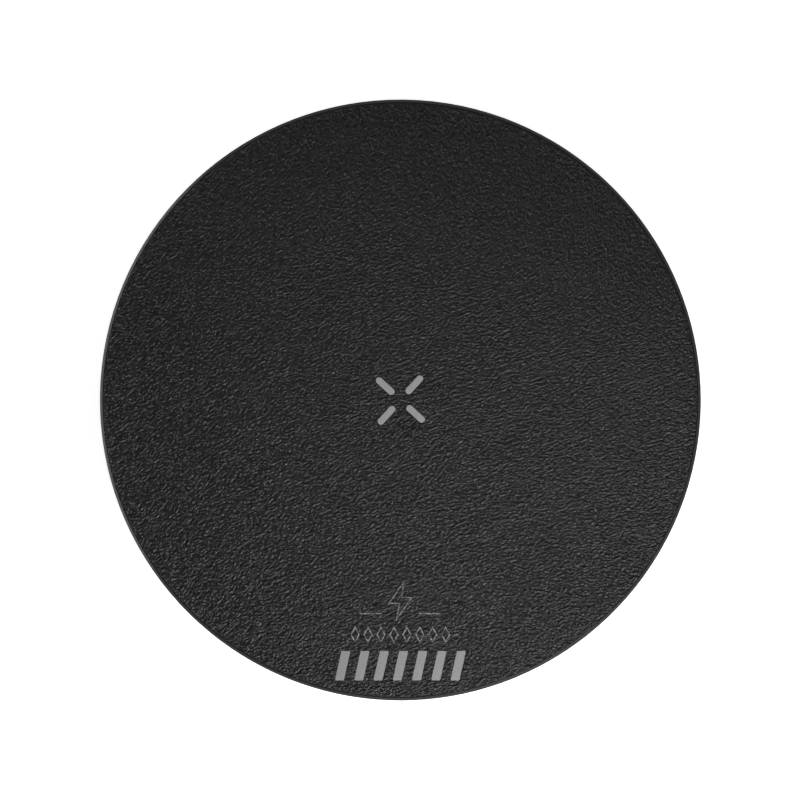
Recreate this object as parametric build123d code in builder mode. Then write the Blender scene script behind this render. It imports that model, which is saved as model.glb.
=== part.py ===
from build123d import *
import os
from math import cos, radians, sin

# A round wireless charging pad: a flat puck with a leather top, a moulded housing and a
# USB-C port in its side. Origin at the centre of the plane it rests on, +Z up, the print
# at the front (-Y) and the port at the back (+Y). Millimetres.

# ---- driving dimensions ----
pad_radius = 50.0
pad_height = 8.0
foot_height = 0.6            # how far the foot ring stands out below the cover
cover_thickness = 1.4
leather_thickness = 1.0
glue_thickness = 0.1
foil_thickness = 0.05
play = 0.1                   # gap round a part that drops into its seat
fit = 0.02                   # gap round a part that is pressed or screwed in

# ---- levels, from the table up ----
cover_top = foot_height + cover_thickness
seam_level = 1.65            # where the housing meets the cover
groove_top = 1.3             # ceiling of the groove that holds the foot ring
board_bottom = 3.0
board_top = 4.0
leather_bottom = pad_height - leather_thickness
plate_top = leather_bottom - glue_thickness
plate_bottom = plate_top - 1.2
rim_top = pad_height - 0.1
coil_top = plate_bottom - glue_thickness

# ---- housing and cover ----
seam_radius = pad_radius - 0.35      # the side leans in towards the bottom
seam_bevel = 0.12
rim_bevel = 0.5
recess_radius = 49.4
leather_play = 0.05          # the leather fills its recess closely
wall_inner_radius = 48.3
spigot_radius = wall_inner_radius - play
spigot_width = 1.0
spigot_top = 3.4
rib_width = 0.8
ring_rib_inner = 25.3
groove_inner, groove_outer = 37.0, 43.0
case_screw_x, case_screw_y = 34.64, 20.0
case_boss_split = 3.0                # where cover post and housing boss meet
board_screw_reach, board_screw_angle = 41.5, 50.0
board_post_reach, board_post_angle = 29.5, 62.0

# ---- coil stack ----
wire_radius = 0.55
turn_pitch = 1.15
coil_inner_radius = 10.25
half_turns = 19
coil_level = coil_top - wire_radius
ferrite_radius = 25.0
ferrite_top = coil_top - 2 * wire_radius - glue_thickness
ferrite_bottom = ferrite_top - 1.2
slot_width = 4.6

# ---- circuit board ----
board_inner, board_outer = 27.0, 46.0
board_start, board_end = 40.0, 140.0

# ---- USB-C port ----
port_level = 3.85
port_front = 49.2
shell_width, shell_height, shell_length = 8.94, 3.2, 7.4
shell_wall = 0.3
port_back = port_front - shell_length
contact_pitch = 0.5

# ---- status light ----
light_angle = 76.0
light_level = 4.5
guide_width, guide_height = 2.4, 0.8
guide_inner, guide_outer = 45.9, 49.75

# ---- foil print on the leather ----
mark_turn = 47.6
bar_length, bar_width, bar_reach = 2.75, 1.1, 3.43
foil_stroke = 0.2
icon_y, dash_y, band_y, stripes_y = -33.3, -35.5, -39.0, -44.15
stripe_width, stripe_height, stripe_lean, stripe_pitch = 1.5, 4.9, 1.1, 3.2
diamond_pitch = 2.15

pieces = {}


def keep(name, piece):
    """Label a finished piece and remember it under the name of its file."""
    piece.part.label = name
    pieces[name] = piece


def facing_down(level):
    """A plane at a height whose normal points at the table."""
    return Plane(origin=(0, 0, level), x_dir=(1, 0, 0), z_dir=(0, 0, -1))


def radial_plane(angle, reach, level):
    """A plane across a radius, with its normal pointing at the pad's axis."""
    outward = Vector(cos(radians(angle)), sin(radians(angle)), 0)
    across = Vector(-sin(radians(angle)), cos(radians(angle)), 0)
    origin = (outward.X * reach, outward.Y * reach, level)
    return Plane(origin=origin, x_dir=(across.X, across.Y, 0), z_dir=(-outward.X, -outward.Y, 0))


def back_plane(reach):
    """A plane across the port at a distance behind the axis, with its normal towards the front."""
    return Plane.XZ.offset(-reach)


def ring(inner, outer, bottom, height):
    """A flat ring as a builder, used for glue, tape and foot."""
    with BuildPart() as builder:
        with BuildSketch(Plane.XY.offset(bottom)):
            Circle(outer)
            Circle(inner, mode=Mode.SUBTRACT)
        extrude(amount=height)
    return builder


def box_chips(width, depth, height, places, bevel=0.08):
    """Flat-topped parts on the board, one at each place, with a small bevel round the top."""
    with BuildPart() as builder:
        with BuildSketch(Plane.XY.offset(board_top)):
            with Locations(*places):
                Rectangle(width, depth)
        extrude(amount=height)
        chamfer(builder.faces().filter_by(Axis.Z).group_by(Axis.Z)[-1].edges(), bevel)
    return builder


def wire(points, radii, radius):
    """A round wire along straight runs joined by tangent arcs."""
    with BuildPart() as builder:
        with BuildLine() as path:
            FilletPolyline(*points, radius=radii)
        with BuildSketch(Plane(origin=path.line @ 0, z_dir=path.line % 0)):
            Circle(radius)
        sweep()
    return builder


# ---- foil shapes, used by the foil and by the leather it is pressed into ----
with BuildSketch(Plane.XY.offset(pad_height)) as mark_shape:
    with PolarLocations(bar_reach, 4, start_angle=mark_turn):
        SlotCenterToCenter(bar_length, bar_width)

with BuildSketch() as icon_outline:
    with BuildLine():
        Polyline((0.6, 3.1), (-1.9, -0.5), (-0.15, -0.5), (-0.6, -3.1), (1.9, 0.5), (0.15, 0.5), close=True)
    trace(line_width=foil_stroke)

with BuildSketch() as diamond_outline:
    with BuildLine():
        Polyline((0, 1.2), (-0.65, 0), (0, -1.2), (0.65, 0), close=True)
    trace(line_width=foil_stroke)

with BuildSketch() as stripe:
    with BuildLine():
        left, right = -stripe_width / 2, stripe_width / 2
        low, high = -stripe_height / 2, stripe_height / 2
        lean = stripe_lean / 2
        Polyline((left - lean, low), (right - lean, low), (right + lean, high), (left + lean, high), close=True)
    make_face()
    fillet(stripe.vertices(), 0.18)

with BuildSketch(Plane.XY.offset(pad_height)) as ornament_shape:
    with Locations((0, icon_y)):
        add(icon_outline.sketch)
    with Locations((0, dash_y)):
        with GridLocations(9.8, 1, 2, 1):
            Rectangle(3.6, foil_stroke)
    with Locations((0, band_y)):
        with GridLocations(diamond_pitch, 1, 8, 1):
            add(diamond_outline.sketch)
        with GridLocations(18.6, 1, 2, 1):
            Rectangle(0.7, foil_stroke)
    with Locations((0, stripes_y)):
        with GridLocations(stripe_pitch, 1, 7, 1):
            add(stripe.sketch)

# ---- leather top ----
with BuildPart() as leather_top:
    with BuildSketch(Plane.XY.offset(leather_bottom)):
        Circle(recess_radius - leather_play)
    extrude(amount=leather_thickness)
    fillet(leather_top.edges().group_by(Axis.Z)[-1], 0.2)
    extrude(mark_shape.sketch, amount=-foil_thickness, mode=Mode.SUBTRACT)
    extrude(ornament_shape.sketch, amount=-foil_thickness, mode=Mode.SUBTRACT)
keep("leather_top", leather_top)

with BuildPart() as alignment_mark:
    extrude(mark_shape.sketch, amount=-foil_thickness)
keep("alignment_mark", alignment_mark)

with BuildPart() as foil_ornament:
    extrude(ornament_shape.sketch, amount=-foil_thickness)
keep("foil_ornament", foil_ornament)

keep("leather_adhesive", ring(0.4, recess_radius - 0.6, plate_top, glue_thickness))

# ---- top housing: side wall, rim round the leather, and plate under it ----
with BuildPart() as top_housing:
    with BuildSketch(Plane.XZ):
        with BuildLine():
            Polyline(
                (0, plate_bottom),
                (wall_inner_radius, plate_bottom),
                (wall_inner_radius, seam_level),
                (seam_radius - seam_bevel, seam_level),
                (seam_radius, seam_level + seam_bevel),
                (pad_radius, rim_top - rim_bevel),
                (pad_radius - rim_bevel, rim_top),
                (recess_radius, rim_top),
                (recess_radius, plate_top),
                (0, plate_top),
                close=True,
            )
        make_face()
    revolve(axis=Axis.Z)
    # the rim's sharp edges are eased
    fillet(top_housing.edges().filter_by(lambda e: abs(e.center().Z - rim_top + rim_bevel) < 0.01), 0.15)
    fillet(top_housing.edges().group_by(Axis.Z)[-1].sort_by(SortBy.LENGTH)[-1], 0.08)
    # ring rib that centres the coil, opened at the back for the leads
    with BuildSketch(Plane.XY.offset(plate_bottom)):
        Circle(ring_rib_inner + rib_width)
        Circle(ring_rib_inner, mode=Mode.SUBTRACT)
        with Locations((0, ring_rib_inner)):
            Rectangle(14, 8, mode=Mode.SUBTRACT)
    extrude(amount=-1.2)
    # stiffening ribs under the front of the plate
    with BuildSketch(Plane.XY.offset(plate_bottom)):
        with PolarLocations(37, 7, start_angle=195, angular_range=150, endpoint=True):
            Rectangle(19, rib_width)
    extrude(amount=-0.9)
    # bosses that the case screws bite into
    with BuildSketch(Plane.XY.offset(case_boss_split)):
        with GridLocations(2 * case_screw_x, 2 * case_screw_y, 2, 2):
            Circle(2.4)
    extrude(until=Until.NEXT)
    with Locations(facing_down(case_boss_split)):
        with GridLocations(2 * case_screw_x, 2 * case_screw_y, 2, 2):
            Hole(0.95, depth=2.2)
    # opening for the port, with a lead-in bevel
    with BuildSketch(back_plane(pad_radius)):
        with Locations((0, port_level)):
            SlotOverall(shell_width + 0.5, shell_height + 0.4)
    extrude(amount=4, mode=Mode.SUBTRACT)
    with BuildSketch(back_plane(pad_radius)):
        with Locations((0, port_level)):
            SlotOverall(shell_width + 1.7, shell_height + 1.6)
    extrude(amount=0.6, taper=45, mode=Mode.SUBTRACT)
    # window for the status light
    with BuildSketch(radial_plane(light_angle, pad_radius, light_level)):
        SlotOverall(guide_width + 2 * fit, guide_height + 2 * fit)
    extrude(amount=3, mode=Mode.SUBTRACT)
keep("top_housing", top_housing)

# ---- bottom cover ----
edge_round = seam_level - seam_bevel - foot_height
with BuildPart() as bottom_cover:
    with BuildSketch(Plane.XZ):
        with BuildLine():
            Polyline(
                (seam_radius - edge_round, foot_height),
                (groove_outer, foot_height),
                (groove_outer, groove_top),
                (groove_inner, groove_top),
                (groove_inner, foot_height),
                (0, foot_height),
                (0, cover_top),
                (spigot_radius - spigot_width, cover_top),
                (spigot_radius - spigot_width, spigot_top),
                (spigot_radius, spigot_top),
                (spigot_radius, seam_level),
                (seam_radius - seam_bevel, seam_level),
                (seam_radius, seam_level - seam_bevel),
            )
            CenterArc((seam_radius - edge_round, seam_level - seam_bevel), edge_round, -90, 90)
        make_face()
    revolve(axis=Axis.Z)
    # ring rib that holds the foam, and ribs from it to the wall
    with BuildSketch(Plane.XY.offset(cover_top)):
        Circle(ring_rib_inner + rib_width)
        Circle(ring_rib_inner, mode=Mode.SUBTRACT)
        with PolarLocations(36.4, 7, start_angle=195, angular_range=150, endpoint=True):
            Rectangle(20.8, rib_width)
    extrude(amount=0.9)
    # posts for the case screws
    with BuildSketch(Plane.XY.offset(cover_top)):
        with GridLocations(2 * case_screw_x, 2 * case_screw_y, 2, 2):
            Circle(3.2)
    extrude(amount=case_boss_split - cover_top)
    # posts that carry the board, two of them for its screws
    with BuildSketch(Plane.XY.offset(cover_top)):
        for angle in (board_screw_angle, 180 - board_screw_angle):
            with PolarLocations(board_screw_reach, 1, start_angle=angle):
                Circle(2.0)
        for angle in (board_post_angle, 180 - board_post_angle):
            with PolarLocations(board_post_reach, 1, start_angle=angle):
                Circle(1.2)
    extrude(amount=board_bottom - cover_top)
    # plinth under the port, and the gap in the spigot that the port passes through
    with BuildSketch(Plane.XY.offset(cover_top)):
        with Locations((0, port_back + 3)):
            Rectangle(6.4, 5.2)
    extrude(amount=port_level - shell_height / 2 - cover_top)
    with BuildSketch(Plane.XY.offset(cover_top)):
        with Locations((0, spigot_radius)):
            Rectangle(10.6, 4)
    extrude(amount=spigot_top - cover_top, mode=Mode.SUBTRACT)
    # countersunk holes for the case screws, under the foot ring
    with Locations(facing_down(groove_top)):
        with GridLocations(2 * case_screw_x, 2 * case_screw_y, 2, 2):
            CounterSinkHole(radius=1.05, counter_sink_radius=1.85, counter_sink_angle=90)
    # pilot holes for the board screws
    with BuildSketch(Plane.XY.offset(board_bottom)):
        for angle in (board_screw_angle, 180 - board_screw_angle):
            with PolarLocations(board_screw_reach, 1, start_angle=angle):
                Circle(0.8)
    extrude(amount=-1.3, mode=Mode.SUBTRACT)
keep("bottom_cover", bottom_cover)

# ---- foot ring in its groove ----
with BuildPart() as foot_ring:
    with BuildSketch():
        Circle(groove_outer - play)
        Circle(groove_inner + play, mode=Mode.SUBTRACT)
    extrude(amount=groove_top - glue_thickness)
    fillet(foot_ring.edges().group_by(Axis.Z)[0], 0.25)
keep("foot_ring", foot_ring)

foot_glue = ring(groove_inner + 0.3, groove_outer - 0.3, groove_top - glue_thickness, glue_thickness)
keep("foot_ring_adhesive", foot_glue)

# ---- screws ----
head_radius, shank_radius = 1.72, 0.93
with BuildPart() as case_screw:
    with BuildSketch(Plane.XZ):
        with BuildLine():
            Polyline(
                (0, groove_top),
                (head_radius, groove_top),
                (shank_radius, groove_top + head_radius - shank_radius),
                (shank_radius, 4.9),
                (0.4, 5.15),
                (0, 5.15),
                close=True,
            )
        make_face()
    revolve(axis=Axis.Z)
    with BuildSketch(Plane.XY.offset(groove_top)):
        Rectangle(2.0, 0.4)
        Rectangle(0.4, 2.0)
    extrude(amount=0.5, mode=Mode.SUBTRACT)

with BuildPart() as case_screws:
    with GridLocations(2 * case_screw_x, 2 * case_screw_y, 2, 2):
        add(case_screw.part)
keep("case_screws", case_screws)

with BuildPart() as board_screws:
    for angle in (board_screw_angle, 180 - board_screw_angle):
        with BuildSketch(Plane.XY.offset(board_top)):
            with PolarLocations(board_screw_reach, 1, start_angle=angle):
                Circle(1.75)
        extrude(amount=1.0)
        with BuildSketch(Plane.XY.offset(board_top)):
            with PolarLocations(board_screw_reach, 1, start_angle=angle):
                Circle(0.8 - fit)
        extrude(amount=1.75 - board_top)
        with BuildSketch(Plane.XY.offset(board_top + 1.0)):
            with PolarLocations(board_screw_reach, 1, start_angle=angle):
                Rectangle(2.0, 0.4)
                Rectangle(0.4, 2.0)
        extrude(amount=-0.5, mode=Mode.SUBTRACT)
keep("board_screws", board_screws)

# ---- coil: half circles about two centres half a pitch apart, each tangent to the next ----
with BuildPart() as coil_winding:
    with BuildLine() as coil_path:
        for half in range(half_turns):
            centre_x = (half % 2) * turn_pitch / 2
            radius = coil_inner_radius + half * turn_pitch / 2
            start = 0 if half % 2 == 0 else 180
            CenterArc((centre_x, 0, coil_level), radius, start, -180)
        last_radius = coil_inner_radius + half_turns * turn_pitch / 2
        CenterArc((turn_pitch / 2, 0, coil_level), last_radius, 180, -60)
    with BuildSketch(Plane(origin=(coil_inner_radius, 0, coil_level), z_dir=(0, -1, 0))):
        Circle(wire_radius)
    sweep(path=coil_path.wires()[0])
keep("coil_winding", coil_winding)

# the inner lead dives through the ferrite's slot, the outer one leaves along the last turn
lead_on_board = board_top + wire_radius
lead_end_y = 30.5
under_coil = ferrite_bottom + wire_radius + 0.05
inner_x = 1.2
inner_route = [
    (coil_inner_radius, 0, coil_level),
    (coil_inner_radius, 3.6, coil_level),
    (inner_x, 3.6, coil_level),
    (inner_x, 6.2, coil_level),
    (inner_x, 8.6, under_coil),
    (inner_x, 22.6, under_coil),
    (inner_x, 26.0, lead_on_board),
    (inner_x, lead_end_y, lead_on_board),
]
coil_lead_inner = wire(inner_route, [3.59, 1.6, 2.0, 2.0, 3.0, 3.0], wire_radius)
keep("coil_lead_inner", coil_lead_inner)

outer_start = coil_path.wires()[0] @ 1
outer_heading = coil_path.wires()[0] % 1
outer_bend = outer_start + outer_heading * 6
outer_route = [
    outer_start,
    outer_bend,
    (outer_bend.X, 25.4, coil_level),
    (outer_bend.X, 28.2, lead_on_board),
    (outer_bend.X, lead_end_y, lead_on_board),
]
coil_lead_outer = wire(outer_route, [3.5, 3.0, 3.0], wire_radius)
keep("coil_lead_outer", coil_lead_outer)

with BuildPart() as coil_tape:
    with BuildSketch(Plane.XY.offset(coil_top)):
        with Locations((turn_pitch / 4, 0)):
            Circle(22.2)
            Circle(9.8, mode=Mode.SUBTRACT)
    extrude(amount=glue_thickness)
keep("coil_tape", coil_tape)

with BuildPart() as coil_adhesive:
    with BuildSketch(Plane.XY.offset(ferrite_top)):
        Circle(22.2)
        Circle(10.2, mode=Mode.SUBTRACT)
        with Locations((0, 16)):
            Rectangle(slot_width, 20, mode=Mode.SUBTRACT)
    extrude(amount=glue_thickness)
keep("coil_adhesive", coil_adhesive)

with BuildPart() as ferrite_plate:
    with BuildSketch(Plane.XY.offset(ferrite_bottom)):
        Circle(ferrite_radius)
        with Locations((0, 5.4 + ferrite_radius / 2)):
            Rectangle(slot_width, ferrite_radius, mode=Mode.SUBTRACT)
    extrude(amount=ferrite_top - ferrite_bottom)
    chamfer(ferrite_plate.edges().group_by(Axis.Z)[-1], 0.1)
keep("ferrite_plate", ferrite_plate)

with BuildPart() as foam_pad:
    with BuildSketch(Plane.XY.offset(cover_top)):
        Circle(ferrite_radius - 0.3)
    extrude(amount=ferrite_bottom - cover_top)
keep("foam_pad", foam_pad)

# ---- temperature sensor in the middle of the coil ----
sensor_x, sensor_level, sensor_front, sensor_back = -1.3, 4.95, 0.9, 3.1
with BuildPart() as thermistor:
    with BuildSketch(back_plane(sensor_front)):
        with Locations((sensor_x, sensor_level)):
            SlotOverall(1.7, 1.0)
    extrude(amount=sensor_front - sensor_back)
keep("thermistor", thermistor)

sensor_wire_radius = 0.22
with BuildPart() as thermistor_leads:
    for lead_x in (sensor_x - 0.4, sensor_x + 0.4):
        route = [
            (lead_x, sensor_back, sensor_level),
            (lead_x, 6.0, sensor_level),
            (lead_x, 7.8, 3.7),
            (lead_x, 23.5, 3.7),
            (lead_x, 26.2, board_top + sensor_wire_radius),
            (lead_x, 29.6, board_top + sensor_wire_radius),
        ]
        lead = wire(route, 1.2, sensor_wire_radius)
        add(lead.part)
keep("thermistor_leads", thermistor_leads)

# ---- circuit board ----
with BuildPart() as circuit_board:
    with BuildSketch(Plane.XY.offset(board_bottom)) as board_outline:
        with BuildLine():
            outer_edge = CenterArc((0, 0), board_outer, board_start, board_end - board_start)
            inner_edge = CenterArc((0, 0), board_inner, board_start, board_end - board_start)
            Line(outer_edge @ 0, inner_edge @ 0)
            Line(outer_edge @ 1, inner_edge @ 1)
        make_face()
        fillet(board_outline.vertices(), 1.5)
        # cut-out that the port's shell sinks into
        with Locations((0, port_back - 0.3 + 4)):
            Rectangle(shell_width + 0.5, 8, mode=Mode.SUBTRACT)
        for angle in (board_screw_angle, 180 - board_screw_angle):
            with PolarLocations(board_screw_reach, 1, start_angle=angle):
                Circle(1.0, mode=Mode.SUBTRACT)
    extrude(amount=board_top - board_bottom)
keep("circuit_board", circuit_board)

with BuildPart() as thermal_pad:
    with BuildSketch(Plane.XY.offset(cover_top)):
        with Locations((9, 32.2)):
            RectangleRounded(8.6, 8.6, 0.8)
    extrude(amount=board_bottom - cover_top)
keep("thermal_pad", thermal_pad)

# ---- parts soldered to the board ----
four_transistors = [(x, y) for x in (7.2, 11.4) for y in (30.2, 34.4)]
four_in_line = [(x, 35.4) for x in (-4.8, -2.5, -0.2, 2.1)]
three_in_line = [(16.8, y) for y in (30.0, 33.3, 36.6)]
resistor_grid = [(x, y) for x in (-21.4, -19.0, -16.6) for y in (29.6, 31.2, 32.8, 34.4)]
capacitor_grid = [(x, y) for x in (-21.4, -19.0, -16.6) for y in (23.6, 25.2, 26.8)]
keep("controller_chip", box_chips(5.0, 5.0, 0.85, [(-11.5, 33.6)]))
keep("bridge_transistors", box_chips(3.3, 3.3, 0.8, four_transistors))
keep("fast_charge_chip", box_chips(3.0, 3.0, 0.75, [(8.4, 39.4)]))
keep("resonant_capacitors", box_chips(1.6, 3.2, 1.25, four_in_line, bevel=0.1))
keep("input_capacitors", box_chips(3.2, 2.5, 1.4, three_in_line, bevel=0.1))
keep("sense_resistor", box_chips(3.2, 1.6, 0.6, [(14.2, 41.0)], bevel=0.06))
keep("small_resistors", box_chips(1.6, 0.8, 0.45, resistor_grid, bevel=0.05))
keep("small_capacitors", box_chips(1.6, 0.8, 0.8, capacitor_grid, bevel=0.08))
keep("oscillator", box_chips(3.2, 2.5, 0.7, [(-11.5, 39.2)], bevel=0.15))

with BuildPart() as power_inductor:
    with BuildSketch(Plane.XY.offset(board_top)):
        with Locations((21.6, 28.8)):
            RectangleRounded(4.0, 4.0, 0.9)
    extrude(amount=1.5)
    chamfer(power_inductor.edges().group_by(Axis.Z)[-1], 0.2)
keep("power_inductor", power_inductor)

# ---- solder on the pads where the wires end ----
with BuildPart() as lead_solder:
    with BuildSketch(Plane.XY.offset(board_top)):
        with Locations((inner_x, lead_end_y), (outer_bend.X, lead_end_y)):
            Ellipse(1.15, 1.5)
    extrude(amount=0.8, taper=25)
    with BuildSketch(Plane.XY.offset(board_top)):
        with Locations((sensor_x - 0.4, 29.6), (sensor_x + 0.4, 29.6)):
            Ellipse(0.37, 0.7)
    extrude(amount=0.35, taper=20)
    for lead in (coil_lead_inner, coil_lead_outer, thermistor_leads):
        add(lead.part, mode=Mode.SUBTRACT)
keep("lead_solder", lead_solder)

# ---- USB-C port: shell, insulator with its tongue, and contacts ----
with BuildPart() as usb_c_shell:
    with BuildSketch(back_plane(port_front)):
        with Locations((0, port_level)):
            SlotOverall(shell_width, shell_height)
    extrude(amount=shell_length)
    with BuildSketch(back_plane(port_front)):
        with Locations((0, port_level)):
            SlotOverall(shell_width - 2 * shell_wall, shell_height - 2 * shell_wall)
    extrude(amount=shell_length - shell_wall, mode=Mode.SUBTRACT)
    # tabs that are soldered to the board beside the cut-out
    with BuildSketch(Plane.XY.offset(board_top)):
        with Locations((0, port_back + 1.9)):
            with GridLocations(10.5, 1, 2, 1):
                Rectangle(1.9, 1.5)
    extrude(amount=shell_wall)
keep("usb_c_shell", usb_c_shell)

block_front = port_back + shell_wall + 2.1
tongue_front = port_front - 0.7
tongue_thickness = 0.7
with BuildPart() as usb_c_insulator:
    with BuildSketch(back_plane(block_front)):
        with Locations((0, port_level)):
            SlotOverall(shell_width - 2 * shell_wall - 2 * fit, shell_height - 2 * shell_wall - 2 * fit)
    extrude(amount=2.1)
    with BuildSketch(back_plane(tongue_front)):
        with Locations((0, port_level)):
            Rectangle(6.69, tongue_thickness)
    extrude(amount=tongue_front - block_front)
    chamfer(usb_c_insulator.faces().sort_by(Axis.Y)[-1].edges(), 0.12)
keep("usb_c_insulator", usb_c_insulator)

with BuildPart() as usb_c_contacts:
    strip_middle = (block_front + tongue_front - 0.3) / 2
    strip_length = tongue_front - 0.3 - block_front
    for level in (port_level + tongue_thickness / 2, port_level - tongue_thickness / 2 - 0.06):
        with BuildSketch(Plane.XY.offset(level)):
            with Locations((0, strip_middle)):
                with GridLocations(contact_pitch, 1, 12, 1):
                    Rectangle(0.28, strip_length)
        extrude(amount=0.06)
    with BuildSketch(Plane.XY.offset(board_top)):
        with Locations((0, port_back - 0.6)):
            with GridLocations(contact_pitch, 1, 12, 1):
                Rectangle(0.28, 1.2)
    extrude(amount=0.12)
keep("usb_c_contacts", usb_c_contacts)

# ---- status light: side-firing LED on the board, and the clear guide in the wall ----
with BuildPart() as status_led:
    led_reach = guide_inner - 0.15
    with BuildSketch(radial_plane(light_angle, led_reach, board_top + 0.45)):
        Rectangle(2.8, 0.9)
    extrude(amount=1.1)
keep("status_led", status_led)

with BuildPart() as light_guide:
    with BuildSketch(radial_plane(light_angle, guide_outer, light_level)):
        SlotOverall(guide_width, guide_height)
    extrude(amount=guide_outer - guide_inner)
keep("light_guide", light_guide)

os.makedirs("parts", exist_ok=True)
for name, piece in pieces.items():
    export_step(piece.part, f"parts/{name}.step")
print(len(pieces), "pieces written")
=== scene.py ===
import bpy
import numpy as np
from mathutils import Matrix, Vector


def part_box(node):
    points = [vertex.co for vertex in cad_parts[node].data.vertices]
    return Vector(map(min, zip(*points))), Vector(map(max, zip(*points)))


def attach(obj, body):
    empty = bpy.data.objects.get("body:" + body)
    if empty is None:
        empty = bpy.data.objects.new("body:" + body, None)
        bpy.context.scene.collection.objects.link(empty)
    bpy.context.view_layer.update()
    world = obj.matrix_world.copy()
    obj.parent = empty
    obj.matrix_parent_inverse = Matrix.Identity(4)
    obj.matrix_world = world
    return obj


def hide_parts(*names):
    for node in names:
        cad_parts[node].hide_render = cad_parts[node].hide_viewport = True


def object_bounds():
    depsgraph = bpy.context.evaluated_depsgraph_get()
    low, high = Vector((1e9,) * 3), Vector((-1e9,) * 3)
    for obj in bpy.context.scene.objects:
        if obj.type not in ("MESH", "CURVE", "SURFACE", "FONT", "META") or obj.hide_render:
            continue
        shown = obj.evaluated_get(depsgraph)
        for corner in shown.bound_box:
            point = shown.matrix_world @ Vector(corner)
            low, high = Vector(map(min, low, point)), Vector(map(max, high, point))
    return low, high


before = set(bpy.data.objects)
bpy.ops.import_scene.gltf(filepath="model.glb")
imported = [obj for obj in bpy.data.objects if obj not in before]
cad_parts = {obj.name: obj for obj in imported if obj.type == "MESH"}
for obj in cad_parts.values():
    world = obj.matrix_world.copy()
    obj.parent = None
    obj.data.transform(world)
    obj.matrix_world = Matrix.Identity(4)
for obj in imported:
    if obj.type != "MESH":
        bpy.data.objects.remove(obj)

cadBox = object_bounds()
print("frame loaded:", len(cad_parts), "nodes")

mm = 0.001
leatherLow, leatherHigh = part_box("leather_top")
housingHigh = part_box("top_housing")[1]
padRadius = housingHigh.x
leatherRadius = leatherHigh.x
leatherTop = leatherHigh.z


# A socket that can be added, taken away and multiplied; each sign adds one Math node.
class Link:
    def __init__(self, finish, socket):
        self.finish, self.socket = finish, socket

    def does(self, operation, *others):
        return self.finish.node("ShaderNodeMath", {"operation": operation}, dict(enumerate([self, *others])))

    def takenFrom(self, other):
        return self.finish.node("ShaderNodeMath", {"operation": "SUBTRACT"}, {0: other, 1: self})

    def __add__(self, other): return self.does("ADD", other)
    def __radd__(self, other): return self.does("ADD", other)
    def __sub__(self, other): return self.does("SUBTRACT", other)
    def __rsub__(self, other): return self.takenFrom(other)
    def __mul__(self, other): return self.does("MULTIPLY", other)
    def __rmul__(self, other): return self.does("MULTIPLY", other)


# One material: a Principled shader, with the values that stay the same set on its own sockets.
class Finish:
    def __init__(self, name, **fixed):
        self.material = bpy.data.materials.new(name)
        self.material.use_nodes = True
        self.tree = self.material.node_tree
        self.tree.nodes.clear()
        self.output = self.tree.nodes.new("ShaderNodeOutputMaterial")
        self.shader = self.tree.nodes.new("ShaderNodeBsdfPrincipled")
        self.tree.links.new(self.shader.outputs[0], self.output.inputs[0])
        for label, value in fixed.items():
            self.feed(label, value)

    # Names such as coatWeight stand for the socket Coat Weight.
    def feed(self, label, value):
        words = "".join(" " + c if c.isupper() else c for c in label).title().replace("Ior", "IOR")
        self.plug(self.shader.inputs[words], value)

    # A link, or a value; a colour of three numbers gets its fourth.
    def plug(self, socket, value):
        if isinstance(value, Link):
            self.tree.links.new(value.socket, socket)
        elif isinstance(value, (tuple, list)) and len(value) == 3 and socket.type == "RGBA":
            socket.default_value = (*value, 1.0)
        else:
            socket.default_value = value

    # Any node: its type, its settings, then the values or links of its sockets.
    def node(self, kind, settings=None, sockets=None, out=0):
        made = self.tree.nodes.new(kind)
        for label, value in (settings or {}).items():
            setattr(made, label, value)
        for label, value in (sockets or {}).items():
            self.plug(made.inputs[label], value)
        return Link(self, made.outputs[out])

    # The object's own coordinates in millimetres.
    def place(self):
        coords = self.node("ShaderNodeTexCoord", out="Object")
        return self.node("ShaderNodeVectorMath", {"operation": "SCALE"}, {0: coords, "Scale": 1000.0})

    # The three parts X, Y and Z of a vector.
    def parts(self, vector):
        split = self.node("ShaderNodeSeparateXYZ", sockets={0: vector})
        outs = split.socket.node.outputs
        return [Link(self, outs[i]) for i in range(3)]

    # Cloudy noise whose lumps are about size mm across.
    def noise(self, vector, size, detail=2.0, roughness=0.5):
        return self.node("ShaderNodeTexNoise", {"noise_dimensions": "3D"},
                         {"Vector": vector, "Scale": 1.0 / size, "Detail": detail, "Roughness": roughness})

    # Turned by some degrees about Z and squeezed, so that lumps of a texture lie along that heading.
    def along(self, vector, degrees, length, width):
        return self.node("ShaderNodeMapping", {"vector_type": "TEXTURE"},
                         {"Vector": vector, "Rotation": (0, 0, np.radians(degrees)),
                          "Scale": (length, width, 1.0)})

    # Goes from low to high while the value goes from start to end, and stays level outside that.
    def ramp(self, value, start, end, low=0.0, high=1.0, kind="LINEAR"):
        return self.node("ShaderNodeMapRange", {"interpolation_type": kind},
                         {0: value, 1: start, 2: end, 3: low, 4: high})

    # The first colour where the factor is 0, the second where it is 1.
    def blend(self, factor, first, second):
        return self.node("ShaderNodeMix", {"data_type": "RGBA"},
                         {"Factor": factor, 6: first, 7: second}, out=2)

    # Roughness from low to high as a pattern goes from 0 to 1.
    def sheen(self, pattern, low, high):
        self.feed("roughness", pattern * (high - low) + low)

    # Relief in millimetres, as a change of the surface's normal.
    def relief(self, height, depth):
        self.feed("normal", self.node("ShaderNodeBump", sockets={
            "Height": height, "Distance": depth * mm, "Strength": 1.0}))


# A mesh object from corner points in metres, faces and a finish.
def makeMesh(name, points, faces, finish, smooth=True):
    mesh = bpy.data.meshes.new(name)
    mesh.from_pydata(points.tolist(), [], faces)
    mesh.materials.append(finish.material)
    mesh.polygons.foreach_set("use_smooth", [smooth] * len(mesh.polygons))
    mesh.update()
    made = bpy.data.objects.new(name, mesh)
    bpy.context.collection.objects.link(made)
    return made


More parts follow.
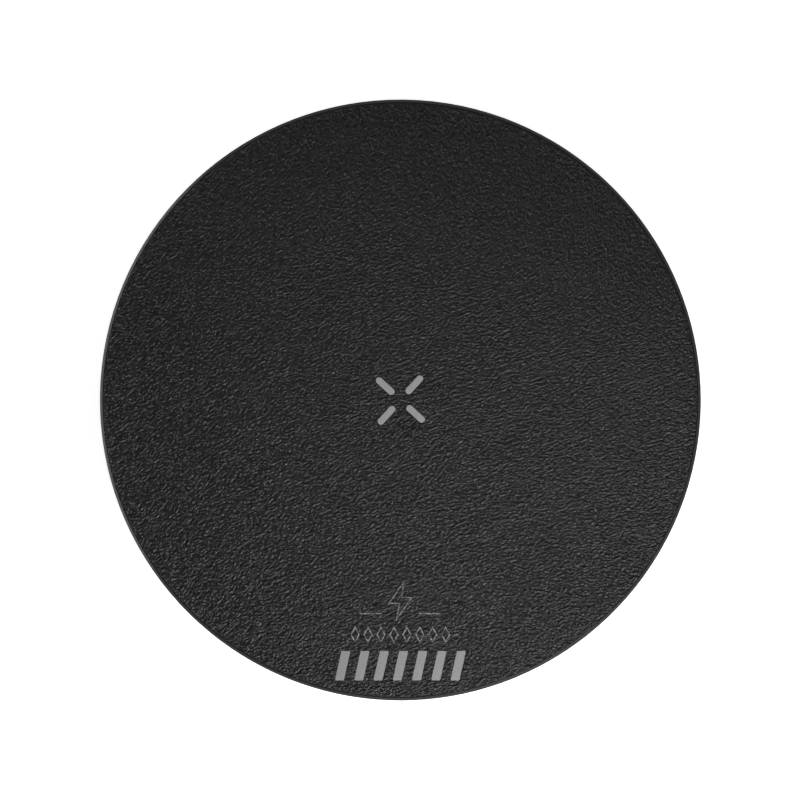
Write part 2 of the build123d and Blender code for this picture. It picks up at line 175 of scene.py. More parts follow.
# A new piece of the pad; it rides on the pad's one body.
def makePiece(name, points, faces, finish, smooth=True):
    piece = makeMesh(name, points, faces, finish, smooth)
    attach(piece, "root")
    return piece


# Four-cornered faces of a grid of points held row by row; each row is closed on itself unless it
# is open, and the last row may join the first.
def ringFaces(rows, count, closed=False, openRows=False):
    row, step = np.meshgrid(np.arange(rows if closed else rows - 1),
                            np.arange(count - 1 if openRows else count), indexing="ij")
    nextRow, nextStep = (row + 1) % rows, (step + 1) % count
    corners = [row * count + step, row * count + nextStep,
               nextRow * count + nextStep, nextRow * count + step]
    return np.stack([c.ravel() for c in corners], axis=1).tolist()


# 0 below low, 1 above high, and the smooth S of t t (3 - 2 t) between them.
def smoothStep(low, high, value):
    t = np.clip((value - low) / (high - low), 0, 1)
    return t * t * (3 - 2 * t)


grain = {
    "headings": (-8, 20, 50, 80),   # degrees the strands may lie along, blended over the hide
    "seed": 41,
    "creases": (1.8, 1.9, 0.006),   # spacing, how much longer than wide, depth
    "pebbles": (1.1, 1.4, 0.0125),
    "streaks": (1.15, 3.0, 0.024),  # only towards the front, where the creases fade
    "creaseFade": 0.4,
    "leftStreaks": 1.5,             # how much stronger the streaks are on the left
    "leftAt": -12, "leftReach": 16,         # where that comes in
    "swells": (8.0, 1.3, 0.004),
    "swellHeading": 20, "swellSeed": 90,
    "band": 0.33,                   # how far the spacing may vary, as a share of it
    "near": 1.45, "far": 1.0,       # how strong the rest is at the front and at the back
    "left": 1.02, "right": 0.72,    # how strong all of it is on the left and on the right
    "reachX": 40, "reachY": 45,     # how far out, to the sides and to the front, these come in
    "span": 104.0, "raster": 1024,  # the square that the relief is worked out on
    "edgeRound": 0.08,              # radius at the edge of the leather
    "edgeFade": 1.0, "edgeRelief": 0.6,     # over how wide a border the grain fades, and to what share
    "sink": 0.035,                  # how far the hide's mean level lies below the plain leather's top
    "cells": 291,
}

# How the hide's strands run: headings in degrees, places and widths in mm.
flow = {
    "middle": 17,                   # heading over the middle
    "backTurn": 61, "backAt": 31, "backSlant": 0.3, "backBow": 0.15, "backBlend": 4.5,
    "leftTurn": 17, "leftAt": -10, "leftBlend": 5,
    "frontAt": -5, "frontReach": 22, "frontMost": 1.2, "frontFan": 0.42,
    "shareReach": 30,               # how far off a fixed heading still counts
    "leastShare": 1e-4,
}


# Heading of the hide's strands in degrees: the middle's, and more along S curves 1 / (1 + exp(-t))
# past a slanted line at the back and on the left, less a fan in x that grows towards the front.
def strandHeading(x, y):
    backLine = flow["backAt"] - flow["backSlant"] * x - flow["backBow"] * np.abs(x)
    back = 1 / (1 + np.exp(-(y - backLine) / flow["backBlend"]))
    front = np.clip((flow["frontAt"] - y) / flow["frontReach"], 0, flow["frontMost"])
    left = np.clip(1 - front, 0, 1) / (1 + np.exp((x - flow["leftAt"]) / flow["leftBlend"]))
    turned = flow["middle"] + flow["backTurn"] * back + flow["leftTurn"] * left * (1 - back)
    return turned - flow["frontFan"] * x * front


# How much each of the fixed headings counts at a point: less by how far off it is, and scaled so
# that the squares add up to one.
def headingShares(x, y):
    heading = strandHeading(x, y)
    off = np.array([np.abs(heading - h) for h in grain["headings"]])
    shares = np.clip(1 - off / flow["shareReach"], 0, 1) + flow["leastShare"]
    return shares / np.sqrt((shares ** 2).sum(axis=0))


# Random relief: white noise whose waves are kept by exp(-((spacing / length - 1) / band) squared),
# where a wave that runs along the heading counts as shorter than it is, so that strands come out
# long. The result is divided by its standard deviation.
def strandRelief(seed, heading, spacing, stretch):
    count = grain["raster"]
    noise = np.random.default_rng(seed).standard_normal((count, count))
    rate = np.fft.fftfreq(count, grain["span"] / count)
    alongX, alongY = np.meshgrid(rate, rate)
    turn = np.radians(heading)
    along = alongX * np.cos(turn) + alongY * np.sin(turn)
    across = alongY * np.cos(turn) - alongX * np.sin(turn)
    band = np.exp(-((np.hypot(along * stretch, across) * spacing - 1) / grain["band"]) ** 2)
    relief = np.fft.ifft2(np.fft.fft2(noise) * band).real
    return relief / relief.std()


# Relief of the hide over the whole raster, in millimetres: swells, creases and pebbles along the
# strands, stronger towards the front, where longer streaks join them. Each layer is the sum over
# the fixed headings of share times depth times random relief.
def hideRaster():
    line = (np.arange(grain["raster"]) / grain["raster"] - 0.5) * grain["span"]
    x, y = np.meshgrid(line, line)
    shares = headingShares(x, y)
    front = smoothStep(-1, 1, -y / grain["reachY"])
    rest = grain["far"] + (grain["near"] - grain["far"]) * front
    creases = rest * (1 - grain["creaseFade"] * front ** 2)
    leftward = smoothStep(-1, 1, (grain["leftAt"] - x) / grain["leftReach"])
    streaks = front ** 2 * (1 + (grain["leftStreaks"] - 1) * leftward)
    spacing, stretch, depth = grain["swells"]
    swells = strandRelief(grain["seed"] + grain["swellSeed"], grain["swellHeading"], spacing, stretch)
    total = rest * depth * swells
    layers = ("creases", creases), ("pebbles", rest), ("streaks", streaks)
    for layer, (name, weight) in enumerate(layers):
        spacing, stretch, depth = grain[name]
        for number, heading in enumerate(grain["headings"]):
            field = strandRelief(grain["seed"] + 10 * layer + number, heading, spacing, stretch)
            total += weight * shares[number] * depth * field
    rightward = smoothStep(-1, 1, x / grain["reachX"])
    return total * (grain["left"] + (grain["right"] - grain["left"]) * rightward)


hideField = hideRaster()


# Relief at points: the four nearest cells of the raster, each by how near it is in x times in y.
def hideRelief(x, y):
    count = grain["raster"]
    column, row = ((v / grain["span"] + 0.5) * count for v in (x, y))
    left, low = np.floor(column).astype(int), np.floor(row).astype(int)
    c, r = column - left, row - low
    near = hideField[low, left] * (1 - c) + hideField[low, left + 1] * c
    far = hideField[low + 1, left] * (1 - c) + hideField[low + 1, left + 1] * c
    return near * (1 - r) + far * r


foil = {
    "mark": ((0.44, 0.44, 0.44), (0.64, 0.64, 0.64)),       # worn and fresh
    # The print's tones are the mark's times 0.72: painted shade, so that the same foil reads dimmer in the
    # ornament near the front than in the mark.
    "print": ((0.32, 0.32, 0.32), (0.46, 0.46, 0.46)),
    "rubbed": (0.09, 0.09, 0.09),
    "wearSize": 0.35, "wearDepth": 0.02, "roughness": (0.42, 0.57),
    "gapSize": 0.45, "gaps": (0.38, 0.62),  # where thin strokes are rubbed off, and where whole
    "press": 0.05, "pressEdge": 0.3,        # how deep the stamp sinks the leather, and the slope round it
    "proud": 0.02,                  # how far the foil stands above the leather under it
    "thickness": 0.04, "bevel": 0.02, "stroke": 0.2,
    "step": 0.15,                   # spacing of the points that follow the hide
    "markTurn": 47.6, "barReach": 3.43, "barLength": 2.75, "barWidth": 1.1,
    "iconY": -33.3, "dashY": -35.5, "bandY": -39.0, "stripesY": -44.15,
    "dashPlaces": (-4.9, 4.9), "dashLength": 3.6, "tickPlaces": (-9.3, 9.3), "tickLength": 0.7,
    "diamondPitch": 2.15, "diamonds": 8,
    "stripePitch": 3.2, "stripes": 7, "stripeWidth": 1.5, "stripeHeight": 4.9, "stripeLean": 1.1,
    "stripeRound": 0.2, "stripeArc": 0.7,   # radius of the corners, and half the angle of their arcs
}
boltCorners = np.array([(0.6, 3.1), (-1.9, -0.5), (-0.15, -0.5),
                        (-0.6, -3.1), (1.9, 0.5), (0.15, 0.5)])
diamondCorners = np.array([(0, 1.2), (-0.65, 0), (0, -1.2), (0.65, 0)])


# Evenly spaced places about zero.
def spread(count, pitch):
    return (np.arange(count) - (count - 1) / 2) * pitch


# Distance of points from a straight line between two ends.
def distanceToLine(x, y, start, end):
    run = end - start
    t = np.clip(((x - start[0]) * run[0] + (y - start[1]) * run[1]) / (run @ run), 0, 1)
    return np.hypot(x - start[0] - t * run[0], y - start[1] - t * run[1])


# The two ends of the middle line of each bar of the mark.
def barLines():
    turns = np.radians(foil["markTurn"] + 90 * np.arange(4))
    headings = np.stack([np.cos(turns), np.sin(turns)], axis=1)
    half = foil["barLength"] / 2
    return [(h * (foil["barReach"] - half), h * (foil["barReach"] + half)) for h in headings]


# The two ends of the middle line of each leaning stripe.
def stripeLines():
    half = np.array([foil["stripeLean"], foil["stripeHeight"]]) / 2
    middles = [np.array([x, foil["stripesY"]]) for x in spread(foil["stripes"], foil["stripePitch"])]
    return [(m - half, m + half) for m in middles]


# How far the stamp flattens the hide at points: 1 under the bars and stripes, 0 a little outside.
def stampPress(x, y):
    press = np.zeros_like(x)
    for lines, width in ((barLines(), foil["barWidth"]), (stripeLines(), foil["stripeWidth"])):
        for start, end in lines:
            outside = distanceToLine(x, y, start, end) - width / 2
            press = np.maximum(press, 1 - smoothStep(0, foil["pressEdge"], outside))
    return press


# Height of the finished leather at points, in millimetres: mean level plus relief, less the press.
def hideLevel(x, y):
    press = stampPress(x, y)
    inward = smoothStep(0, grain["edgeFade"], leatherRadius / mm - grain["edgeRound"] - np.hypot(x, y))
    relief = hideRelief(x, y) * (grain["edgeRelief"] + (1 - grain["edgeRelief"]) * inward)
    return leatherTop / mm - grain["sink"] + relief * (1 - press) - foil["press"] * press


# A closed outline moved outwards by a distance, its corners mitred: each goes along the sum of its
# two sides' normals, divided by one plus their dot product.
def offsetLoop(loop, distance):
    run = np.roll(loop, -1, axis=0) - loop
    run = run / np.linalg.norm(run, axis=1, keepdims=True)
    after = np.stack([run[:, 1], -run[:, 0]], axis=1)
    before = np.roll(after, 1, axis=0)
    mitre = (after + before) / (1 + (after * before).sum(axis=1, keepdims=True))
    return loop + mitre * distance


# The same outline with more points along its sides, about a step apart.
def refineLoop(loop):
    run = np.roll(loop, -1, axis=0) - loop
    counts = np.maximum(1, np.round(np.linalg.norm(run, axis=1) / foil["step"])).astype(int)
    side = np.repeat(np.arange(len(loop)), counts)
    part = np.concatenate([np.arange(c) / c for c in counts])
    return loop[side] + run[side] * part[:, None]


# A ribbon of foil lying on the hide: its cross-section, a low box with bevelled edges, is carried
# along the middle line, with reaches out to both sides of it.
def ribbonMesh(sides, closed):
    half, bevel = foil["stroke"] / 2, foil["bevel"]
    section = ((half, -foil["thickness"]), (half, 0.0), (half - bevel, foil["proud"]),
               (bevel - half, foil["proud"]), (-half, 0.0), (-half, -foil["thickness"]))
    rows = []
    for reach, lift in section:
        row = sides(reach)
        rows.append(np.column_stack([row, hideLevel(row[:, 0], row[:, 1]) + lift]))
    count = len(rows[0])
    faces = ringFaces(len(rows), count, closed=True, openRows=not closed)
    if not closed:
        first = np.arange(len(rows)) * count
        faces += [first.tolist(), (first + count - 1)[::-1].tolist()]
    return np.concatenate(rows), faces


# A stroke of foil round a closed outline.
def outlineMesh(loop):
    loop = refineLoop(loop)
    return ribbonMesh(lambda reach: offsetLoop(loop, reach), closed=True)


# A level dash of foil.
def dashMesh(x, y, length):
    line = x + np.linspace(-length / 2, length / 2, max(3, round(length / foil["step"])))
    return ribbonMesh(lambda reach: np.column_stack([line, np.full_like(line, y - reach)]), closed=False)


# A flat piece of foil with a bevelled edge inside a closed outline.
def patchMesh(loop):
    level = hideLevel(loop[:, 0], loop[:, 1]).mean()
    count = len(loop)
    rings = [np.column_stack([offsetLoop(loop, reach), np.full(count, level + lift)])
             for reach, lift in ((0, -foil["thickness"]), (0, 0.0), (-foil["bevel"], foil["proud"]))]
    top = list(range(2 * count, 3 * count))
    return np.concatenate(rings), ringFaces(3, count) + [top, list(range(count))[::-1]]


# An outline at a distance round a straight line: half circles about its ends.
def roundedBar(start, end, radius, steps=14):
    heading = np.arctan2(*(end - start)[::-1])
    turn = np.linspace(-np.pi / 2, np.pi / 2, steps)
    arc = np.column_stack([np.cos(turn + heading), np.sin(turn + heading)]) * radius
    return np.concatenate([end + arc, start - arc])


# A leaning stripe with its corners rounded: each corner is an arc about a point inside it.
def stripeOutline(start, end, steps=5):
    across = np.array([foil["stripeWidth"] / 2, 0])
    corners = np.array([start - across, start + across, end + across, end - across])
    inner = offsetLoop(corners, -foil["stripeRound"])
    towards = corners - inner
    middle = np.arctan2(towards[:, 1], towards[:, 0])
    turn = (middle[:, None] + np.linspace(-foil["stripeArc"], foil["stripeArc"], steps)).ravel()
    arc = foil["stripeRound"] * np.column_stack([np.cos(turn), np.sin(turn)])
    return np.repeat(inner, steps, axis=0) + arc


# Many meshes as one: each mesh's corner numbers go up by the points before it.
def joinMeshes(meshes):
    points, faces, first = [], [], 0
    for part, partFaces in meshes:
        points.append(part)
        faces += [[corner + first for corner in face] for face in partFaces]
        first += len(part)
    return np.concatenate(points), faces


# Everything that is stamped: the four bars of the mark, and the ornament near the front.
def makeFoil():
    half = foil["barWidth"] / 2
    points, faces = joinMeshes([patchMesh(roundedBar(*line, half)) for line in barLines()])
    whole = foilFinish("markFoil", foil["mark"])
    mark = makePiece("foil_mark", points * mm, faces, whole, smooth=False)
    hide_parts("alignment_mark")
    parts = [patchMesh(stripeOutline(*line)) for line in stripeLines()]
    parts += [outlineMesh(boltCorners + (0, foil["iconY"]))]
    places = spread(foil["diamonds"], foil["diamondPitch"])
    parts += [outlineMesh(diamondCorners + (x, foil["bandY"])) for x in places]
    parts += [dashMesh(x, foil["dashY"], foil["dashLength"]) for x in foil["dashPlaces"]]
    parts += [dashMesh(x, foil["bandY"], foil["tickLength"]) for x in foil["tickPlaces"]]
    points, faces = joinMeshes(parts)
    # Both of the ornament's finishes take the print's darker tones, which are painted shade.
    wide = foilFinish("printFoilPaintedShade", foil["print"])
    narrow = foilFinish("thinFoilPaintedShade", foil["print"], thin=True)
    ornament = makePiece("foil_print", points * mm, faces, wide, smooth=False)
    ornament.data.materials.append(narrow.material)
    thin = np.arange(len(faces)) >= sum(len(partFaces) for _, partFaces in parts[:foil["stripes"]])
    ornament.data.polygons.foreach_set("material_index", thin.astype(np.int32))
    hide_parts("foil_ornament")


# The hide as one closed sheet: a square grid drawn into a disc, x = u sqrt(1 - v v / 2) and
# likewise y, with the relief on it; its rim rolls over, and a flat underside closes it.
def makeLeather(finish):
    count = grain["cells"]
    flatRadius = leatherRadius / mm - grain["edgeRound"]
    u, v = np.meshgrid(np.linspace(-1, 1, count), np.linspace(-1, 1, count))
    x = (u * np.sqrt(1 - v * v / 2) * flatRadius).ravel()
    y = (v * np.sqrt(1 - u * u / 2) * flatRadius).ravel()
    z = hideLevel(x, y)
    index = np.arange(count * count).reshape(count, count)
    quads = np.stack([index[:-1, :-1], index[:-1, 1:], index[1:, 1:], index[1:, :-1]], axis=-1)
    rim = np.concatenate([index[0, :-1], index[:-1, -1], index[-1, :0:-1], index[:0:-1, 0]])
    around = np.arctan2(y[rim], x[rim])
    level, low, edge = z[rim].mean(), leatherLow.z / mm, grain["edgeRound"]
    turns = np.radians([25, 50, 75, 90])
    below = [leatherRadius / mm, flatRadius, flatRadius / 2]
    reaches = [flatRadius + edge * np.sin(t) for t in turns] + below
    levels = [z[rim] + (level - z[rim]) * t / turns[-1] - edge * (1 - np.cos(t)) for t in turns]
    levels += [low] * len(below)
    rings = [np.column_stack([r * np.cos(around), r * np.sin(around), np.broadcast_to(h, around.shape)])
             for r, h in zip(reaches, levels)]
    points = np.concatenate([np.column_stack([x, y, z]), *rings, [[0, 0, low]]])
    added = count * count + np.arange(len(rings) * len(rim)).reshape(len(rings), -1)
    loops = np.concatenate([rim[None], added])
    a, b = loops[:-1], loops[1:]
    walls = np.stack([a, b, np.roll(b, -1, axis=1), np.roll(a, -1, axis=1)], axis=-1)
    hub = np.full(len(rim), len(points) - 1)
    fan = np.stack([loops[-1], hub, np.roll(loops[-1], -1)], axis=1)
    faces = quads.reshape(-1, 4).tolist() + walls.reshape(-1, 4).tolist() + fan.tolist()
    piece = makePiece("leather_hide", points * mm, faces, finish)
    strands = piece.data.color_attributes.new("strands", "FLOAT_COLOR", "POINT")
    shares = headingShares(points[:, 0], points[:, 1]).T
    strands.data.foreach_set("color", shares.astype(np.float32).ravel())
    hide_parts("leather_top")
    return piece


hide = {
    "black": (0.0066, 0.0058, 0.0056), "warm": (0.0118, 0.0095, 0.0078), "cool": (0.0084, 0.0078, 0.0094),
    "tintSize": 5.0, "cloudSize": 9.0,
    "nearRoughness": 0.386, "farRoughness": 0.525, "roughFrom": -5.0,   # it grows from here to the back
    "leftRoughness": -0.02, "rightRoughness": 0.03,         # added to it on the two sides
    "pebbleSheen": -0.25,           # pebbles' tops are smoother than the hollows
    "pebble": 0.40, "stretch": 1.5, "pebbleDepth": 0.34,    # size, how much longer than wide, depth
    "dimple": 0.30, "dimpleDepth": 0.12,
    "near": 1.6, "far": 1.4,        # how strong both are at the front and at the back
    "left": 0.80, "right": 1.06,    # and on the two sides
    "reachX": 40.0, "reachY": 45.0,
}


# Pebbled grain: for each heading a layer of noise drawn out along it, counted by its share, and
# an even layer of dimples over all of it. The fourth share is the attribute's alpha.
def hideFinish():
    f = Finish("hide", specularIorLevel=0.5)
    place = f.place()
    colours = f.parts(f.node("ShaderNodeAttribute", {"attribute_name": "strands"}, out="Color"))
    fourth = f.node("ShaderNodeAttribute", {"attribute_name": "strands"}, out="Alpha")
    pebbles = 0.0
    for share, heading in zip([*colours, fourth], grain["headings"]):
        drawn = f.along(place, heading, hide["stretch"], 1.0)
        pebbles = (f.noise(drawn, hide["pebble"], detail=1.5, roughness=0.6) - 0.5) * share + pebbles
    dimples = f.noise(place, hide["dimple"], detail=1.0) - 0.5
    x, y, _ = f.parts(place)
    sides, ends = (-hide["reachX"], hide["reachX"]), (-hide["reachY"], hide["reachY"])
    strength = f.ramp(y, *ends, hide["near"], hide["far"]) * f.ramp(x, *sides, hide["left"], hide["right"])
    roughness = f.ramp(y, hide["roughFrom"], hide["reachY"], hide["nearRoughness"], hide["farRoughness"])
    roughness = roughness + f.ramp(x, *sides, hide["leftRoughness"], hide["rightRoughness"])
    tint = f.blend(f.noise(place, hide["tintSize"], detail=1.0), hide["warm"], hide["cool"])
    f.feed("baseColor", f.blend(f.noise(place, hide["cloudSize"]), hide["black"], tint))
    f.feed("roughness", pebbles * hide["pebbleSheen"] + roughness)
    f.relief((pebbles * hide["pebbleDepth"] + dimples * hide["dimpleDepth"]) * strength, depth=1.0)
    return f


# Hot-stamped foil: even grey where it is wide; in thin strokes the hide's grain breaks it up.
def foilFinish(name, tones, thin=False):
    f = Finish(name, specularIorLevel=0.4)
    place = f.place()
    wear = f.noise(place, foil["wearSize"])
    colour = f.blend(wear, *tones)
    if thin:
        whole = f.ramp(f.noise(place, foil["gapSize"]), *foil["gaps"])
        colour = f.blend(whole, foil["rubbed"], colour)
    f.feed("baseColor", colour)
    f.sheen(wear, *foil["roughness"])
    f.relief(wear, foil["wearDepth"])
    return f


moulding = {
    "dark": (0.0070, 0.0070, 0.0074), "light": (0.0105, 0.0105, 0.0110), "edge": (0.014, 0.014, 0.015),
    "sparkSize": 0.16, "sparkDepth": 0.014, "rimSpark": 0.15,   # the last is the rim's share of it
    "handledSize": 3.5, "rubbedSize": 1.8, "rubbedLeast": 0.45, "rubbedBlend": 0.1,
    "sideRoughness": 0.46, "sideSpread": 0.12, "rimRoughness": 0.20,
    "rimHeight": 0.5, "rimBlend": 0.04, "edgeRate": 9.0,        # the last: how fast the rubbing ends, per mm
}


# Spark-eroded plastic on the side, and a smoother, shinier rim above it; the edges of the rim
# are rubbed a little lighter.
def mouldedFinish():
    f = Finish("moulded", specularIorLevel=0.2)
    place = f.place()
    level = f.parts(place)[2]
    rimLow = housingHigh.z / mm - moulding["rimHeight"]
    rim = f.ramp(level, rimLow - moulding["rimBlend"], rimLow + moulding["rimBlend"], kind="SMOOTHSTEP")
    spark = f.noise(place, moulding["sparkSize"], roughness=0.6)
    handled = f.noise(place, moulding["handledSize"], detail=3.0)
    edge = 1.0 - ((level - rimLow) * moulding["edgeRate"]).does("ABSOLUTE").does("MINIMUM", 1.0)
    wear = f.noise(place, moulding["rubbedSize"], detail=3.0)
    rubbed = edge * wear.does("SMOOTH_MAX", moulding["rubbedLeast"], moulding["rubbedBlend"])
    base = f.blend(handled, moulding["dark"], moulding["light"])
    f.feed("baseColor", f.blend(rubbed, base, moulding["edge"]))
    side = handled * moulding["sideSpread"] + (moulding["sideRoughness"] - moulding["sideSpread"] / 2)
    f.feed("roughness", side + (moulding["rimRoughness"] - side) * rim)
    f.relief(spark * (1.0 - rim * (1 - moulding["rimSpark"])), moulding["sparkDepth"])
    return f


# Soft rubber: very fine bloom on it, and dust in patches.
def rubberFinish():
    f = Finish("silicone", specularIorLevel=0.3)
    place = f.place()
    bloom = f.noise(place, size=1.1, detail=4.0, roughness=0.6)
    f.feed("baseColor", f.blend(bloom, (0.016, 0.016, 0.017), (0.030, 0.030, 0.031)))
    f.sheen(bloom, low=0.62, high=0.82)
    f.relief(f.noise(place, size=0.12), depth=0.01)
    return f


# Plated metal: long faint drawing marks along one heading, and small stains; both make it rougher
# than a little under the roughness given.
def metalFinish(name, dark, light, roughness, marks=0.006, heading=0.0):
    f = Finish(name, metallic=1.0)
    place = f.place()
    drawn = f.noise(f.along(place, heading, length=6.0, width=0.25), size=0.2, detail=3.0)
    stains = f.noise(place, size=0.9, detail=3.0)
    f.feed("baseColor", f.blend(stains, dark, light))
    drawnSpread, stainSpread, under = 0.15, 0.10, 0.12
    f.feed("roughness", drawn * drawnSpread + stains * stainSpread + (roughness - under))
    f.relief(drawn, marks)
    return f


# Clear moulded plastic with a frosted face.
def guideFinish():
    f = Finish("frostedClear", specularIorLevel=0.5, transmissionWeight=0.35)
    place = f.place()
    frost = f.noise(place, size=0.1)
    f.feed("baseColor", f.blend(frost, (0.42, 0.44, 0.46), (0.62, 0.64, 0.66)))
    f.sheen(frost, low=0.35, high=0.55)
    f.relief(frost, depth=0.008)
    return f


# Smooth cast or cured stuff: clouds of two tones and a little relief.
def castFinish(name, dark, light, roughness, grainSize=0.5, depth=0.006, specular=0.4, spread=0.08):
    f = Finish(name, specularIorLevel=specular)
    cloud = f.noise(f.place(), grainSize, detail=3.0)
    f.feed("baseColor", f.blend(cloud, dark, light))
    f.sheen(cloud, roughness - spread, roughness + spread)
    f.relief(cloud, depth)
    return f


# Enamelled copper strands: fine lines along the wire's surface under a clear coat.
def copperFinish():
    f = Finish("copperStrands", metallic=1.0, coatRoughness=0.2)
    strands = f.noise(f.along(f.place(), degrees=35.0, length=0.9, width=0.12), size=0.6)
    f.feed("baseColor", f.blend(strands, (0.42, 0.16, 0.06), (0.80, 0.38, 0.18)))
    f.sheen(strands, low=0.28, high=0.48)
    f.feed("coatWeight", f.ramp(strands, 0.0, 1.0, low=0.3, high=0.6))
    f.relief(strands, depth=0.03)
    return f


# Pores: small cells, domed in their middles, with painted shade darkening the hollows between them.
def poreFinish(name, dark, light, size, depth, roughness):
    f = Finish(name, specularIorLevel=0.25)
    cells = f.node("ShaderNodeTexVoronoi", {"feature": "SMOOTH_F1"},
                   {"Vector": f.place(), "Scale": 1.0 / size, "Smoothness": 0.4})
    # Light on the cells' tops and dark down in the hollows: painted shade.
    f.feed("baseColor", f.blend(cells, light, dark))
    f.sheen(cells, roughness, roughness + 0.1)
    f.relief(1.0 - cells, depth)
    return f


# Solder mask over copper: tracks stand up a little and shine through lighter.
def boardFinish():
    f = Finish("solderMask", specularIorLevel=0.5, coatRoughness=0.15)
    place = f.place()
    tracks = f.node("ShaderNodeTexBrick", {"offset": 0.5, "squash": 1.0},
                    {"Vector": place, "Color1": (0, 0, 0), "Color2": (0, 0, 0), "Mortar": (1, 1, 1),
                     "Scale": 1.0, "Mortar Size": 0.12, "Mortar Smooth": 0.2, "Brick Width": 3.1,
                     "Row Height": 0.9}, out=1)
    cloud = f.noise(place, size=2.0, detail=3.0)
    mask = f.blend(cloud, (0.006, 0.045, 0.020), (0.010, 0.070, 0.030))
    track, trackShare = (0.020, 0.120, 0.045), 0.8
    f.feed("baseColor", f.blend(tracks * trackShare, mask, track))
    f.sheen(cloud, low=0.25, high=0.40)
    f.feed("coatWeight", f.ramp(cloud, 0.0, 1.0, low=0.2, high=0.5))
    f.relief(tracks, depth=0.03)
    return f


# Chips with plated ends, so many in a row along one axis: the ends are where a point is farther
# from its chip's middle than half the chip's length less the band.
def chipFinish(node, body, axis, length, count=1, band=0.5):
    f = Finish(node + "_ends")
    place = f.place()
    low, high = (corner[axis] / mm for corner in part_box(node))
    pitch = (high - low - length) / (count - 1) if count > 1 else 2 * length
    start = low + length / 2 - pitch / 2
    offset = (f.parts(place)[axis] - start).does("FLOORED_MODULO", pitch) - pitch / 2
    ends = offset.does("ABSOLUTE").does("GREATER_THAN", length / 2 - band)
    cloud = f.noise(place, size=0.4)
    deeper = tuple(0.75 * c for c in body)
    plating = (0.62, 0.62, 0.60)
    f.feed("baseColor", f.blend(ends, f.blend(cloud, deeper, body), plating))
    f.feed("metallic", ends)
    f.sheen(cloud, low=0.32, high=0.52)
    f.relief(cloud, depth=0.008)
    return f


# Pick-up tape and film: amber, clear and shiny, with faint rolling lines.
def filmFinish():
    f = Finish("amberFilm", specularIorLevel=0.5)
    lines = f.noise(f.along(f.place(), degrees=10.0, length=30.0, width=0.5), size=1.0)
    f.feed("baseColor", f.blend(lines, (0.48, 0.20, 0.03), (0.66, 0.32, 0.05)))
    f.sheen(lines, low=0.14, high=0.29)
    f.relief(lines, depth=0.01)
    return f


# Which finish each CAD node takes.
def dressNodes():
    moulded, rubber, guide = mouldedFinish(), rubberFinish(), guideFinish()
    steel = metalFinish("zincSteel", (0.36, 0.36, 0.37), (0.55, 0.55, 0.56), 0.34)
    nickel = metalFinish("nickelSheet", (0.42, 0.42, 0.42), (0.60, 0.60, 0.60), 0.30)
    gold = metalFinish("goldPlate", (0.72, 0.50, 0.18), (0.90, 0.66, 0.28), 0.24, 0.002, 90.0)
    solder = metalFinish("tinSolder", (0.50, 0.50, 0.52), (0.70, 0.70, 0.72), 0.26, 0.010)
    copper, film, board = copperFinish(), filmFinish(), boardFinish()
    glue = castFinish("milkyGlue", (0.50, 0.47, 0.38), (0.66, 0.63, 0.54), 0.5)
    ferrite = castFinish("sinteredFerrite", (0.030, 0.030, 0.032), (0.060, 0.058, 0.058), 0.6, 0.25, 0.012)
    iron = castFinish("pressedIron", (0.050, 0.050, 0.052), (0.085, 0.085, 0.088), 0.62, 0.12, 0.012)
    epoxy = castFinish("epoxyMoulding", (0.012, 0.012, 0.013), (0.022, 0.022, 0.023), 0.5, 0.15)
    bead = castFinish("beadEpoxy", (0.010, 0.010, 0.012), (0.020, 0.020, 0.024), 0.15, 0.6, 0.003, 0.6)
    gap = castFinish("gapFiller", (0.20, 0.25, 0.30), (0.28, 0.33, 0.38), 0.7, 0.3, 0.01)
    package = castFinish("whitePackage", (0.62, 0.61, 0.54), (0.78, 0.77, 0.70), 0.4, 0.3)
    port = castFinish("portPlastic", (0.010, 0.010, 0.010), (0.018, 0.018, 0.018), 0.4, 0.2)
    # The foam's two tones run from its cells' tops to their hollows, so the darker one is painted shade.
    foam = poreFinish("closedFoam", (0.008, 0.008, 0.008), (0.035, 0.035, 0.036), 0.35, 0.10, 0.8)
    tan, black = (0.36, 0.23, 0.13), (0.020, 0.020, 0.022)
    wanted = {
        "top_housing": moulded, "bottom_cover": moulded, "foot_ring": rubber, "light_guide": guide,
        "case_screws": steel, "board_screws": steel, "oscillator": nickel, "usb_c_shell": nickel,
        "usb_c_contacts": gold, "usb_c_insulator": port, "lead_solder": solder,
        "coil_winding": copper, "coil_lead_inner": copper, "coil_lead_outer": copper,
        "thermistor_leads": copper, "coil_tape": film, "circuit_board": board,
        "leather_adhesive": glue, "foot_ring_adhesive": glue, "coil_adhesive": glue,
        "ferrite_plate": ferrite, "power_inductor": iron, "foam_pad": foam, "thermistor": bead,
        "controller_chip": epoxy, "bridge_transistors": epoxy, "fast_charge_chip": epoxy,
        "thermal_pad": gap, "status_led": package,
        "resonant_capacitors": chipFinish("resonant_capacitors", tan, 1, 3.2),
        "input_capacitors": chipFinish("input_capacitors", tan, 0, 3.2),
        "sense_resistor": chipFinish("sense_resistor", black, 0, 3.2),
        "small_resistors": chipFinish("small_resistors", black, 0, 1.6, 3, 0.28),
        "small_capacitors": chipFinish("small_capacitors", tan, 0, 1.6, 3, 0.28),
    }
    for name, finish in wanted.items():
        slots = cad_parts[name].data.materials
        slots.clear()
        slots.append(finish.material)
    print("finishes:", len(wanted), "nodes dressed")


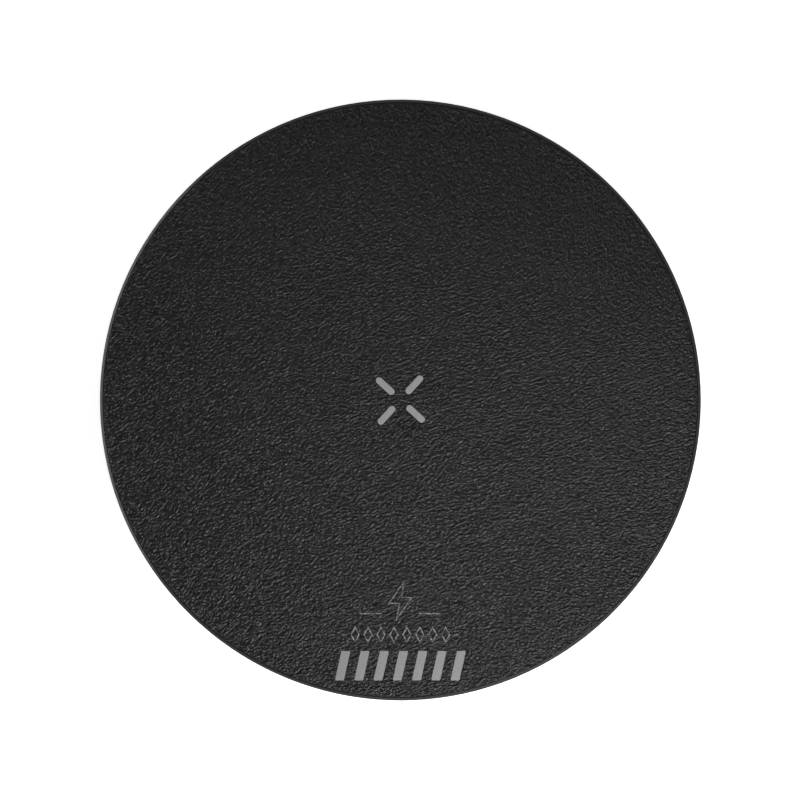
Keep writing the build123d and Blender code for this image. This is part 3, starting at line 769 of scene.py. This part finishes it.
# The room round the pad, in metres and watts.
stage = {
    "floor": (0.86, 0.86, 0.86), "glow": 1.05, "floorRoughness": 0.9,
    "floorGap": 0.0001,                     # how far the floor lies under the pad
    "levelRings": (0.05, 0.6), "sides": 96,
    "flatRadius": 1.2, "floorRadius": 1.5, "lip": 0.2, "lipRings": 16,      # far off it curls up
    "lens": 200.0, "sensor": 36.0, "clipEnd": 10.0,     # the first two in millimetres
    "fill": 0.7521,                         # share of the picture that the pad takes up
    "shiftLeft": -0.000065,                 # how far the camera stands off the middle
    "world": 0.052,                         # even light from all round
    "lamps": {                              # place, size, power
        "front": ((0.085, -0.17, 0.105), (0.12, 0.06), 0.40),
        "left": ((-0.55, 0.06, 0.024), (0.95, 0.04), 2.0),
        "above": ((0.12, 0.14, 0.60), (0.40, 0.40), 0.28),
    },
}


# A wide round floor, level near the pad, and curling up at its far edge by the square of the way.
def makeFloor():
    finish = Finish("studioFloor", baseColor=stage["floor"], roughness=stage["floorRoughness"],
                    emissionColor=stage["floor"], emissionStrength=stage["glow"])
    way = np.linspace(0, 1, stage["lipRings"])
    lipReach = stage["flatRadius"] + (stage["floorRadius"] - stage["flatRadius"]) * way
    reach = np.concatenate([stage["levelRings"], lipReach])[:, None]
    rise = np.concatenate([np.zeros(len(stage["levelRings"])), stage["lip"] * way ** 2])[:, None]
    turn = np.linspace(0, 2 * np.pi, stage["sides"], endpoint=False)
    level = cadBox[0].z - stage["floorGap"] + rise + 0 * turn
    points = np.stack([reach * np.cos(turn), reach * np.sin(turn), level], axis=-1).reshape(-1, 3)
    faces = [face[::-1] for face in ringFaces(len(reach), len(turn))] + [list(range(len(turn)))]
    makeMesh("floor", points, faces, finish)


# A soft lamp: a lit rectangle turned to face the middle of the pad.
def makeLamp(name, at, size, power):
    data = bpy.data.lights.new(name, "AREA")
    data.shape = "RECTANGLE"
    data.size, data.size_y = size
    data.energy = power
    lamp = bpy.data.objects.new(name, data)
    lamp.location = at
    lamp.rotation_mode = "QUATERNION"
    lamp.rotation_quaternion = (-Vector(at)).to_track_quat("-Z", "Y")
    lamp.visible_camera = False
    bpy.context.collection.objects.link(lamp)


# The same dim grey light from everywhere.
def makeWorld(level):
    world = bpy.data.worlds.new("studio")
    bpy.context.scene.world = world
    world.use_nodes = True
    world.node_tree.nodes["Background"].inputs[0].default_value = (level, level, level, 1)


# Straight above, so far off that the pad fills its share: width seen times lens by sensor.
def makeCamera():
    data = bpy.data.cameras.new("camera")
    data.lens, data.sensor_width = stage["lens"], stage["sensor"]
    data.clip_end = stage["clipEnd"]
    width = 2 * padRadius / stage["fill"]
    height = leatherTop + width * stage["lens"] / stage["sensor"]
    camera = bpy.data.objects.new("camera", data)
    camera.location = (stage["shiftLeft"], 0, height)
    bpy.context.collection.objects.link(camera)
    bpy.context.scene.camera = camera


dressNodes()
leather = makeLeather(hideFinish())
print("leather:", len(leather.data.polygons), "faces")
makeFoil()
print("foil: mark and ornament")
makeFloor()
for name, (at, size, power) in stage["lamps"].items():
    makeLamp(name, at, size, power)
makeWorld(stage["world"])
makeCamera()
bpy.context.scene.view_settings.view_transform = "Standard"
print("stage: floor, lamps and camera")
